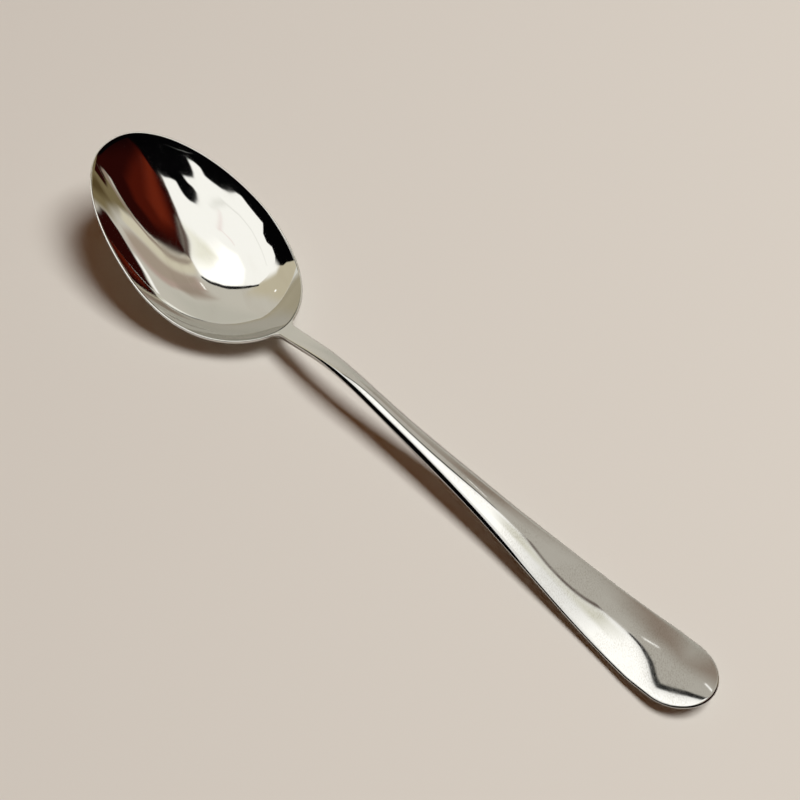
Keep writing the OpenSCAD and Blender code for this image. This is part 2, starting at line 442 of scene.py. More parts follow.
    def crown(self, x: float) -> float:
        """Rise of the handle's top over its edges.

        Args:
            x: place along the spoon.

        Returns:
            The rise at the handle's middle.
        """
        handle = self.handle
        half = self.half_w(x)
        size = handle.crown_h * (half / (handle.paddle_w / 2.0)) ** handle.crown_power
        start = ease(clip((x - self.bowl.length) / handle.crown_l))
        stop = ease(clip((self.round_start - x) / handle.flat_l))
        beside = 1.0 - self.bevel(x)[0] / half
        return size * start * (handle.flat_share + (1.0 - handle.flat_share) * stop) * beside ** 2

    def hollow_drop(self, out: float) -> float:
        """Drop of the bowl's inside under its top edge, from the middle (0) to the lip (1)."""
        bowl = self.bowl
        return bowl.lip_r + (bowl.depth - bowl.lip_r) * (1.0 - out ** bowl.hollow_power)

    def outside_drop(self, place: Vector, out: float, fade: float) -> float:
        """Drop of the bowl's outside under its top edge, with the neck's rib run in under the heel.

        Args:
            place: place in plan.
            out: 0 at the middle of the bowl, 1 at its edge.
            fade: share of the rib's fillet that is used, 0 at the edge.

        Returns:
            The drop.
        """
        bowl = self.bowl
        depth = bowl.depth + bowl.wall - bowl.rim_h
        shell = bowl.rim_h + depth * (1.0 - out ** bowl.outside_power)
        beside = min(1.0, abs(place.y) / self.heel_half_w)
        run = ease(clip((place.x - bowl.length + bowl.rib_l) / bowl.rib_l))
        thick = (self.handle.neck_t - bowl.rim_h) * (1.0 - beside ** 2) ** self.handle.belly_power
        rib = bowl.rim_h + thick * run
        size = bowl.rib_blend * fade
        deepest = max(shell, rib)
        if size > 0.0:
            deepest += max(size - abs(shell - rib), 0.0) ** 2 / (4.0 * size)
        return deepest

    def belly(self, x: float, out: float) -> float:
        """Drop of the handle's underside under its top edge.

        Args:
            x: place along the spoon.
            out: 0 at the handle's middle, 1 at its side.

        Returns:
            The drop.
        """
        side = self.side_h(x)
        round_share = max(0.0, 1.0 - out * out) ** self.handle.belly_power
        return side + (self.thicks.at(x) - side) * round_share


@dataclass
class EdgePoint:
    """One place on the spoon's outline in plan, and the direction outwards there."""

    place: Vector
    out: Vector


Rings = dict[Vert, EdgePoint]
Cells = dict[Vert, tuple[float, float]]


@dataclass
class Spoon:
    """The spoon, pressed from a flat sheet whose grid follows the bowl, neck and handle."""

    form: SpoonForm
    counts: GridCounts = field(default_factory=GridCounts)
    # length over which the handle's grain and its painted shade come in from the neck
    handle_wear_and_shade_run: float = 45.0 * MM
    merge_gap: float = 0.001 * MM

    def build(self) -> bpy.types.Object:
        """Presses the sheet, gives it its edge and its underside, and puts it in its place.

        Returns:
            The finished object, at the origin, with its place in its mesh.
        """
        sheet = bmesh.new()
        for layer in (WEAR, HANDLE_WEAR_AND_SHADE):
            sheet.verts.layers.float.new(layer)
        self._cut_sheet(sheet)
        under = self._double_sheet(sheet)
        top = {v for v in sheet.verts if v not in under}
        rings = self._plan_edge(top)
        cells = {v: (v.co.x, v.co.y) for v in sheet.verts}
        self._press(top, cells, rings, low=False)
        self._press(under, cells, rings, low=True)
        self._wrap_edge(sheet, rings)
        bmesh.ops.remove_doubles(sheet, verts=sheet.verts, dist=self.merge_gap)
        bmesh.ops.recalc_face_normals(sheet, faces=sheet.faces)
        self._mark_handle_wear_and_shade(sheet)
        return self._finish(sheet)

    def _cut_sheet(self, sheet: bmesh.types.BMesh) -> None:
        """Lays the bowl's grid and the handle's grid side by side, one unit to a cell.

        Args:
            sheet: the empty sheet.
        """
        c = self.counts
        for start, stop, rows in ((0, c.bowl_columns, c.bowl_rows),
                                  (c.bowl_columns, c.last_column, c.neck_rows)):
            place = Matrix.Translation(((start + stop) / 2.0, 0.0, 0.0))
            shape = Matrix.Diagonal(((stop - start) / 2.0, rows / 2.0, 1.0, 1.0))
            bmesh.ops.create_grid(sheet, x_segments=stop - start, y_segments=rows, size=1.0,
                                  matrix=place @ shape)
        for vert in sheet.verts:
            vert.co = Vector((round(vert.co.x), round(vert.co.y), 0.0))
        bmesh.ops.remove_doubles(sheet, verts=sheet.verts, dist=c.cell_gap)

    def _double_sheet(self, sheet: bmesh.types.BMesh) -> set[Vert]:
        """Copies the sheet for the underside, facing down.

        Args:
            sheet: the sheet.

        Returns:
            The copy's points.
        """
        geometry = list(sheet.verts) + list(sheet.edges) + list(sheet.faces)
        copy = bmesh.ops.duplicate(sheet, geom=geometry)["geom"]
        faces = [g for g in copy if isinstance(g, bmesh.types.BMFace)]
        bmesh.ops.reverse_faces(sheet, faces=faces)
        return {g for g in copy if isinstance(g, Vert)}

    def _shares(self, column: float, row: float) -> tuple[float, float]:
        """Turns a cell of the bowl into shares of the way out, from -1 to 1.

        Args:
            column: column of the sheet.
            row: row of the sheet.

        Returns:
            Shares along and across, with close cells for the lip and the neck's rows in the middle.
        """
        c = self.counts
        half, half_rows, half_neck = c.bowl_columns / 2.0, c.bowl_rows / 2.0, c.neck_rows / 2.0
        neck_share = math.sqrt(2.0) * math.sin(self.form.neck_angle)
        along = np.interp(abs(column - half), (0.0, half - c.lip_cells, half),
                          (0.0, c.hollow_share, 1.0))
        across = np.interp(abs(row), (0.0, half_neck, half_rows - c.lip_cells, half_rows),
                           (0.0, neck_share, c.hollow_share, 1.0))
        return math.copysign(along, column - half), math.copysign(across, row)

    @staticmethod
    def _disc(s: float, t: float) -> tuple[float, float]:
        """Lays a square grid smoothly on a disc.

        Args:
            s: share of the way out along the spoon, from -1 to 1.
            t: share of the way out across it, from -1 to 1.

        Returns:
            How far out the point lies, from 0 to 1, and its angle.
        """
        x = s * math.sqrt(1.0 - t * t / 2.0)
        y = t * math.sqrt(1.0 - s * s / 2.0)
        return math.hypot(x, y), math.atan2(y, x)

    def _end_disc(self, column: float, row: float) -> tuple[float, float]:
        """Place in the handle's round end: how far out, and its angle."""
        c = self.counts
        return self._disc((column - c.round_column) / c.end_columns, self._across(row))

    def _handle_out(self, column: float, row: float) -> float:
        """How far out a point of the handle lies, from 0 at its middle to 1 at its edge."""
        in_round = column > self.counts.round_column
        return self._end_disc(column, row)[0] if in_round else abs(self._across(row))

    def _across(self, row: float) -> float:
        """Share across the handle, from -1 to 1."""
        return row / (self.counts.neck_rows / 2.0)

    def _handle_plan(self, column: float, row: float, pull: float = 0.0) -> Vector:
        """Place in plan of a point of the handle.

        Args:
            column: column of the sheet.
            row: row of the sheet.
            pull: share of the upper edge's width by which the outermost row is drawn in.

        Returns:
            The place, on the true outline for the outermost row with no pull.
        """
        c, form = self.counts, self.form
        if column > c.round_column:
            out, angle = self._end_disc(column, row)
            inset = pull * form.bevel(form.total_l)[0]
            return Vector((form.round_start + (form.handle.round_l - inset) * out * math.cos(angle),
                           (form.handle.paddle_w / 2.0 - inset) * out * math.sin(angle)))
        run = (column - c.bowl_columns) / c.handle_columns
        start = form.bowl.length
        x = start + (form.round_start - start) * run * (1.0 - c.closer_share + c.closer_share * run)
        across = self._across(row)
        gap = start - form.outline(math.asin(across * math.sin(form.neck_angle))).x
        half = form.half_w(x) - pull * form.bevel(x)[0]
        return Vector((x - gap * clip(1.0 - (x - start) / form.handle.fillet_r), across * half))

    def _outline_plan(self, column: float, row: float) -> Vector:
        """True place in plan of a point on the sheet's edge."""
        return (self._handle_plan(column, row) if column > self.counts.bowl_columns
                else self.form.outline(self._disc(*self._shares(column, row))[1]))

    def _plan_edge(self, top: set[Vert]) -> Rings:
        """Places the sheet's edge in plan and works out where outwards is.

        Args:
            top: points of the upper sheet, still flat, one unit to a cell.

        Returns:
            Each point of the upper edge with its place on the outline.
        """
        edge = {v: self._outline_plan(v.co.x, v.co.y) for v in top if v.is_boundary}
        points = {}
        for vert, place in edge.items():
            beside = [e.other_vert(vert) for e in vert.link_edges if e.is_boundary]
            run = edge[beside[1]] - edge[beside[0]]
            out = Vector((run.y, -run.x)).normalized()
            inward = Vector((self.counts.bowl_columns / 2.0, 0.0)) - vert.co.xy
            if vert.co.x > self.counts.bowl_columns:
                inward = Vector((0.0, -vert.co.y))
            if vert.co.x == self.counts.last_column:
                inward = Vector((-1.0, 0.0))
            if out.dot(inward) > 0.0:
                out = -out
            points[vert] = EdgePoint(place, out)
        return points

    def _ring_point(self, point: EdgePoint, turn: float, low: bool) -> Vector:
        """Point of a rounded edge.

        Args:
            point: place on the outline.
            turn: 0 at the start of the rounding on its way down, 1 at its end.
            low: whether it is the lower edge and not the upper one.

        Returns:
            The point.
        """
        form, x = self.form, point.place.x
        size, power = (form.edge.low_r, form.ROUND_POWER) if low else form.bevel(x)
        angle = (1.0 - turn if low else turn) * math.pi / 2.0
        pull, dip = (size * (1.0 - max(0.0, wave(angle)) ** (2.0 / power))
                     for wave in (math.sin, math.cos))
        return form.hung(point.place - pull * point.out, form.side_h(x) - dip if low else dip)

    def _lip_profile(self, share: float) -> tuple[float, float]:
        """Section of the rim from its outer edge to the hollow.

        Args:
            share: 0 where the rim's top starts at its outer edge, 1 at the hollow.

        Returns:
            Distance in from the outline, and drop under the rim's top.
        """
        bowl, start = self.form.bowl, self.form.edge.top_r
        flat = bowl.lip_flat_share
        pull = start + (bowl.rim_w - bowl.lip_r - start) * clip(share / flat)
        angle = clip((share - flat) / (1.0 - flat)) * math.pi / 2.0
        pull += bowl.lip_stretch * bowl.lip_r * math.sin(angle)
        return pull, bowl.lip_r * (1.0 - math.cos(angle))

    def _top_point(self, column: float, row: float) -> Vector:
        """Place of a point of the spoon's upper side, inside its edge.

        Args:
            column: column of the sheet.
            row: row of the sheet.

        Returns:
            The place.
        """
        c, form = self.counts, self.form
        if column > c.bowl_columns:
            place = self._handle_plan(column, row, 1.0)
            below = self._handle_out(column, row) ** 2 - 1.0
            return form.hung(place, form.crown(place.x) * below)
        s, t = self._shares(column, row)
        away = max(abs(s), abs(t))
        if away > c.hollow_share:
            angle = self._disc(s / away, t / away)[1]
            pull, drop = self._lip_profile((1.0 - away) / (1.0 - c.hollow_share))
            return form.hung(form.drawn_in(angle, pull), drop)
        out, angle = self._disc(s / c.hollow_share, t / c.hollow_share)
        pull, _ = self._lip_profile(1.0)
        return form.hung(form.shrunk(angle, pull, out), form.hollow_drop(out))

    def _under_point(self, column: float, row: float) -> Vector:
        """Place of a point of the spoon's underside, inside its edge.

        Args:
            column: column of the sheet.
            row: row of the sheet.

        Returns:
            The place.
        """
        c, form = self.counts, self.form
        if column > c.bowl_columns:
            place = self._handle_plan(column, row, c.under_pull)
            return form.hung(place, form.belly(place.x, self._handle_out(column, row)))
        out, angle = self._disc(*self._shares(column, row))
        place = form.shrunk(angle, form.edge.low_r, out)
        fade = clip((1.0 - out) / (1.0 - c.hollow_share))
        return form.hung(place, form.outside_drop(place, out, fade))

    def _press(self, points: set[Vert], cells: Cells, rings: Rings, low: bool) -> None:
        """Moves one of the two sheets to its place.

        Args:
            points: the sheet's points.
            cells: each point's column and row.
            rings: each point of the upper edge with its place on the outline.
            low: whether it is the lower sheet and not the upper one.
        """
        edge = {cells[vert]: point for vert, point in rings.items()}
        inside, turn = (self._under_point, 1.0) if low else (self._top_point, 0.0)
        for vert in points:
            point = edge.get(cells[vert])
            vert.co = self._ring_point(point, turn, low) if point else inside(*cells[vert])

    def _wrap_edge(self, sheet: bmesh.types.BMesh, rings: Rings) -> None:
        """Extrudes the upper sheet's edge round and down until it meets the lower sheet.

        Args:
            sheet: the sheet.
            rings: each point of the upper edge with its place on the outline.
        """
        edge = self.form.edge
        wear = sheet.verts.layers.float[WEAR]
        upper = [(k / edge.top_steps, False) for k in range(1, edge.top_steps + 1)]
        lower = [(k / edge.low_steps, True) for k in range(edge.low_steps + 1)]
        loop = [e for e in sheet.edges if e.is_boundary and all(v in rings for v in e.verts)]
        sources = dict(rings)
        for turn, low in upper + lower:
            made = bmesh.ops.extrude_edge_only(sheet, edges=loop)["geom"]
            fresh = {v for v in made if isinstance(v, Vert)}
            step = {}
            for vert in fresh:
                beside = (e.other_vert(vert) for e in vert.link_edges)
                point = step[vert] = next(sources[v] for v in beside if v in sources)
                vert.co = self._ring_point(point, turn, low)
                vert[wear] = 1.0
            edges = (e for e in made if isinstance(e, bmesh.types.BMEdge))
            loop = [e for e in edges if fresh.issuperset(e.verts)]
            sources = step

    def _mark_handle_wear_and_shade(self, sheet: bmesh.types.BMesh) -> None:
        """Marks the handle with a share that rises from the neck. Hands have dulled the handle with
        fine grain, and the same share darkens its steel as painted shade, so the handle's
        reflections come out dimmer than the bowl's.

        Args:
            sheet: the sheet.
        """
        handle_wear_and_shade = sheet.verts.layers.float[HANDLE_WEAR_AND_SHADE]
        neck = self.form.bowl.length
        for vert in sheet.verts:
            vert[handle_wear_and_shade] = ease(clip((vert.co.x - neck) / self.handle_wear_and_shade_run))

    def _finish(self, sheet: bmesh.types.BMesh) -> bpy.types.Object:
        """Moves the pressed spoon onto its node and makes it an object.

        Args:
            sheet: the sheet.

        Returns:
            The spoon as an object.
        """
        low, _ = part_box(NODE)
        base = Vector((min(v.co.x for v in sheet.verts), 0.0, min(v.co.z for v in sheet.verts)))
        shift = Vector((low.x, 0.0, low.z)) - base
        bmesh.ops.translate(sheet, verts=sheet.verts, vec=shift)
        for face in sheet.faces:
            face.smooth = True
        return placed(PIECE, sheet)


@dataclass(frozen=True)
class PhotoCamera:
    """The photograph's view: where it looks, from where, and how long its lens is."""

    target: tuple[float, float] = (-5.1 * MM, 10.7 * MM)
    distance: float = 473.0 * MM
    azimuth: float = 47.1
    elevation: float = 55.0
    roll: float = -1.45
    focal_pixels: float = 1619.0
    sensor: float = 36.0
    nearest: float = 0.01
    farthest: float = 50.0

    def place(self) -> bpy.types.Object:
        """Makes the camera and hands it to the scene.

        Returns:
            The camera object.
        """
        azimuth, elevation, roll = map(math.radians, (self.azimuth, self.elevation, self.roll))
        back = Vector((math.sin(azimuth) * math.cos(elevation),
                       -math.cos(azimuth) * math.cos(elevation), math.sin(elevation)))
        right = Vector((math.cos(azimuth), math.sin(azimuth), 0.0))
        data = bpy.data.cameras.new("photo_camera")
        data.sensor_fit = "HORIZONTAL"
        data.sensor_width = self.sensor
        data.lens = self.sensor * self.focal_pixels / PHOTO_PIXELS
        data.clip_start = self.nearest
        data.clip_end = self.farthest
        camera = bpy.data.objects.new("photo_camera", data)
        bpy.context.scene.collection.objects.link(camera)
        turn = Matrix((right, back.cross(right), back)).transposed().to_4x4()
        centre = Vector((*self.target, 0.0)) + back * self.distance
        camera.matrix_world = Matrix.Translation(centre) @ turn @ Matrix.Rotation(roll, 4, "Z")
        bpy.context.scene.camera = camera
        return camera


def linear(value: float) -> float:
    """Turns a screen's value, 0 to 1, into the amount of light that makes it."""
    knee, slope, lift, gamma = 0.04045, 12.92, 0.055, 2.4
    return value / slope if value <= knee else ((value + lift) / (1.0 + lift)) ** gamma


def rgba(tint: Tint) -> tuple[float, ...]:
    """Turns a colour as it looks on a screen into amounts of light, with full cover."""
    return (*map(linear, tint), 1.0)


def add_node(tree: Tree, kind: str, inputs: Inputs | None = None,
             **settings: str | bool | Tree) -> bpy.types.Node:
    """Adds a shader node.

    Args:
        tree: tree that it goes into.
        kind: kind of node, without the word Shader in front.
        inputs: a fixed value, or an output to link, for each input by its name or number.
        settings: the node's own settings.

    Returns:
        The node.
    """
    node = tree.nodes.new("ShaderNode" + kind)
    for name, value in settings.items():
        setattr(node, name, value)
    for name, value in (inputs or {}).items():
        if isinstance(value, Socket):
            tree.links.new(value, node.inputs[name])
        else:
            node.inputs[name].default_value = value
    return node


def mixed(tree: Tree, share: Socket, first: Socket, second: Socket) -> Socket:
    """Mixes two shaders, the second one by the given share."""
    return add_node(tree, "MixShader", {"Fac": share, 1: first, 2: second}).outputs["Shader"]


class Join(Enum):
    """Ways to join two values."""

    TIMES = "MULTIPLY"
    LARGER = "MAXIMUM"


def joined(tree: Tree, way: Join, one: Socket, other: Socket) -> Socket:
    """Joins two values into one."""
    return add_node(tree, "Math", {0: one, 1: other}, operation=way.value).outputs["Value"]


def stepped(tree: Tree, value: Socket, low: float, high: float) -> Socket:
    """Turns a value into a mask that rises smoothly from low to high, or falls if low is larger."""
    return add_node(tree, "MapRange", {"Value": value, "From Min": low, "From Max": high},
                    interpolation_type="SMOOTHSTEP").outputs["Result"]


def new_material(name: str) -> bpy.types.Material:
    """Makes a material that has its standard nodes.

    Args:
        name: its name.

    Returns:
        The material.
    """
    material = bpy.data.materials.new(name)
    material.use_nodes = True
    return material


@dataclass(frozen=True)
class Patch:
    """Soft-edged area of one colour on a net of the sky, with corners in the net's own units."""

    tint: Tint
    feather: float
    corners: Pairs

    def share(self, spots: np.ndarray) -> np.ndarray:
        """Works out how far each spot is covered.

        Args:
            spots: place of each spot, one row of two numbers each.

        Returns:
            0 outside the patch to 1 inside it, with a soft step as wide as the feather.
        """
        ends = np.array(self.corners)
        nearest = np.full(len(spots), np.inf)
        inside = np.zeros(len(spots), dtype=bool)
        for start, stop in zip(ends, np.roll(ends, -1, axis=0)):
            run = stop - start
            along = np.clip((spots - start) @ run / (run @ run), 0.0, 1.0)
            gap = spots - start - along[:, None] * run
            nearest = np.minimum(nearest, np.hypot(gap[:, 0], gap[:, 1]))
            crosses = (start[1] > spots[:, 1]) != (stop[1] > spots[:, 1])
            if abs(run[1]) > 0.0:
                reach = start[0] + (spots[:, 1] - start[1]) / run[1] * run[0]
                inside ^= crosses & (spots[:, 0] < reach)
        return ease(np.clip(np.where(inside, nearest, -nearest) / self.feather + 0.5, 0.0, 1.0))


@dataclass(frozen=True)
class SkyTints:
    """Colours of the studio's sky, as they look on a screen."""

    plain: Tint = (0.73, 0.715, 0.675)
    warm: Tint = (0.715, 0.685, 0.60)
    cool: Tint = (0.70, 0.69, 0.65)
    rose: Tint = (0.655, 0.585, 0.545)
    white: Tint = (0.955, 0.955, 0.94)
    bright: Tint = (1.12, 1.12, 1.1)
    shade: Tint = (0.885, 0.88, 0.82)
    streak: Tint = (0.9, 0.85, 0.84)
    fold: Tint = (0.87, 0.87, 0.85)
    cream: Tint = (0.775, 0.75, 0.67)
    valley: Tint = (0.61, 0.56, 0.505)
    cloud: Tint = (0.575, 0.525, 0.475)
    edge: Tint = (0.53, 0.475, 0.425)
    olive: Tint = (0.435, 0.39, 0.28)
    dim_olive: Tint = (0.30, 0.25, 0.15)
    maroon: Tint = (0.142, 0.027, 0.019)
    russet: Tint = (0.265, 0.068, 0.032)
    bright_russet: Tint = (0.38, 0.125, 0.062)
    dark: Tint = (0.012, 0.012, 0.014)
    bar: Tint = (0.03, 0.03, 0.03)
    side_glow: Tint = (0.3, 0.235, 0.21)
    side: Tint = (0.56, 0.53, 0.485)


def dome_patches(tints: SkyTints) -> list[Patch]:
    """Lists the patches of the far dome in the order in which they are laid over each other.

    Args:
        tints: colours of the sky.

    Returns:
        The patches, with corners in degrees from the zenith along X and Y, the first one lowest.
    """
    return [
        Patch(tints.warm, 14.0, ((-95, -2), (-45, -2), (-20, 8), (-20, -40), (-60, -45),
            (-95, -45))),
        Patch(tints.cool, 20.0, ((-60, 20), (-12, 34), (-2, 60), (-40, 70))),
        Patch(tints.rose, 5.0, ((0, 30), (8, 27), (10, 36), (11, 46), (10, 62), (5, 70), (1, 55))),
        Patch(tints.valley, 3.0, ((5.5, 31), (8.5, 28), (10, 36), (11, 44), (11.7, 52), (11.7, 59),
            (9.5, 66), (6.5, 67), (5.5, 58), (5, 45))),
        Patch(tints.olive, 5.0, ((18, 46), (17, 57), (14, 65), (10, 70), (8, 77), (4, 92), (60, 92),
            (60, 60), (30, 50))),
        Patch(tints.dim_olive, 5.0, ((18, 62), (24, 61), (22, 70), (15, 76), (16, 68))),
        Patch(tints.cream, 2.4, ((9.5, 26), (11.5, 22), (13, 22), (13, 28), (13.6, 35), (14.8, 43),
            (17, 50), (17.5, 56), (13.5, 61), (12, 52), (11, 44), (10.2, 36))),
        Patch(tints.edge, 1.0, ((12, 22), (12.6, 26), (13.2, 32), (13.8, 38), (15, 43.5),
            (17.5, 47), (20.5, 48.3), (20.5, 50), (16.8, 48.5), (14, 44.5), (12.8, 38), (12.2, 32),
            (11.7, 26))),
        Patch(tints.maroon, 0.8, ((12.6, 22), (13.2, 25.5), (13.9, 31.5), (14.5, 38), (15.6, 43),
            (17.9, 45.8), (21, 47), (25, 46.7), (29, 45.3), (31, 47), (30, 49.5), (26, 52.5),
            (23.5, 56), (29, 59), (32, 60), (95, 80), (95, -12), (27, -8), (22, 2), (17, 10),
            (12.2, 19))),
        Patch(tints.russet, 5.0, ((16, 23.5), (16.6, 28), (18, 32.5), (24, 35), (31, 30), (36, 18),
            (39, 4), (36, -3), (33, 6), (26, 8), (20, 16))),
        Patch(tints.bright_russet, 5.5, ((18, 20.5), (19.5, 24), (25, 22.5), (28.5, 18.5), (33, 11),
            (37, 2), (34, -1), (28, 9), (23, 15))),
        Patch(tints.edge, 1.1, ((18.5, 47.3), (22, 48.4), (26, 48), (30, 46.3), (31.5, 48),
            (30, 50.3), (27, 50), (22.5, 50.2), (19.5, 49.5))),
        Patch(tints.dark, 0.9, ((33, 2), (40, 1), (50, 12), (95, 20), (95, -95), (-95, -95),
            (-95, -55), (-66, -41), (-55, -40), (-45, -37.5), (-42, -34), (-30, -30), (-5, -28),
            (10, 0))),
        Patch(tints.dark, 9.0, ((46, -8), (42, 8), (42, 22), (40, 40), (50, 60), (95, 90),
            (95, -20))),
        Patch(tints.side, 9.0, ((46, -95), (44, -60), (57, -44), (95, -34), (95, -95))),
        Patch(tints.side, 14.0, ((-95, -60), (-66, -62), (-52, -95), (-95, -95))),
        Patch(tints.bright, 0.8, ((-51, -9), (-51, -11), (-49, -11), (-49, -9))),
        Patch(tints.white, 1.2, ((3, 70.5), (-1, 72), (-7, 75), (-13, 76.5), (-13, 78), (-7, 77),
            (-2, 74.6), (2, 72.6))),
        Patch(tints.maroon, 1.0, ((-11, 84), (-11, 79), (-6, 77.8), (-2, 75), (3, 72.6), (6, 72),
            (9, 73.5), (8, 76.5), (3, 82), (0, 87), (-5, 89))),
    ]


def card_patches(tints: SkyTints) -> list[Patch]:
    """Lists the patches of the card over the spoon, lowest first.

    Args:
        tints: colours of the sky.

    Returns:
        The patches, with corners in metres along X and Y. Between them the card is clear.
    """
    return [
        Patch(tints.cloud, 0.09, ((-0.12, 0.25), (-0.04, 0.25), (-0.02, 0.3), (-0.02, 0.42),
            (-0.06, 0.48), (-0.11, 0.4))),
        Patch(tints.white, 0.08, ((-0.05, 0.1), (-0.22, -0.04), (-0.3, -0.12), (-0.4, -0.22),
            (-0.42, -0.29), (-0.2, -0.29), (0.0, -0.3))),
        Patch(tints.white, 0.004, ((0.014, 0.176), (0.036, 0.127), (0.068, 0.073), (0.102, 0.028),
            (0.137, -0.006), (0.13, -0.022), (0.124, -0.05), (0.115, -0.072), (0.1, -0.055),
            (0.088, -0.043), (0.078, -0.043), (0.074, -0.062), (0.079, -0.096), (0.088, -0.132),
            (0.097, -0.145), (0.107, -0.138), (0.12, -0.151), (0.115, -0.175), (0.111, -0.21),
            (0.118, -0.243), (0.13, -0.272), (0.146, -0.3), (0.134, -0.33), (0.12, -0.338),
            (0.106, -0.308), (0.093, -0.324), (0.08, -0.35), (0.071, -0.388), (0.06, -0.46),
            (0.045, -0.487), (0.02, -0.474), (-0.03, -0.468), (-0.11, -0.47), (-0.126, -0.375),
            (-0.173, -0.343), (-0.243, -0.362), (-0.31, -0.325), (-0.33, -0.28), (-0.29, -0.12),
            (-0.245, -0.026), (-0.167, 0.05), (-0.107, 0.11), (-0.06, 0.155), (-0.035, 0.175),
            (-0.012, 0.182))),
        Patch(tints.bright, 0.05, ((0.0, 0.165), (0.015, 0.1), (0.02, 0.02), (-0.03, -0.02),
            (-0.09, 0.0), (-0.13, 0.06), (-0.1, 0.105), (-0.05, 0.15), (-0.015, 0.175))),
        Patch(tints.shade, 0.04, ((0.016, 0.165), (0.042, 0.11), (0.03, 0.09), (0.005, 0.1),
            (0.0, 0.15))),
        Patch(tints.streak, 0.009, ((0.047, -0.04), (0.049, -0.052), (0.062, -0.14),
            (0.066, -0.172), (0.059, -0.14), (0.044, -0.055))),
        Patch(tints.streak, 0.009, ((0.044, -0.056), (0.046, -0.06), (0.022, -0.067),
            (0.002, -0.06), (0.002, -0.054), (0.022, -0.06))),
        Patch(tints.fold, 0.01, ((0.07, -0.13), (0.069, -0.2), (0.066, -0.262), (0.036, -0.29),
            (-0.036, -0.283), (-0.145, -0.231), (-0.235, -0.18), (-0.235, -0.186), (-0.145, -0.24),
            (-0.036, -0.292), (0.038, -0.3), (0.074, -0.267), (0.076, -0.2))),
        Patch(tints.bar, 0.003, ((-0.01, 0.18), (-0.035, 0.171), (-0.061, 0.151), (-0.107, 0.105),
            (-0.167, 0.045), (-0.25, -0.031), (-0.259, -0.022), (-0.175, 0.058), (-0.116, 0.119),
            (-0.07, 0.165), (-0.04, 0.183), (-0.012, 0.189))),
        Patch(tints.bright, 0.004, ((-0.03, 0.212), (-0.062, 0.226), (-0.062, 0.232),
            (-0.03, 0.218))),
        Patch(tints.side_glow, 0.005, ((0.013, 0.18), (0.035, 0.129), (0.067, 0.075), (0.1, 0.03),
            (0.13, 0.0), (0.146, 0.0), (0.125, 0.018), (0.101, 0.037), (0.077, 0.071),
            (0.05, 0.114), (0.034, 0.148), (0.02, 0.182))),
    ]


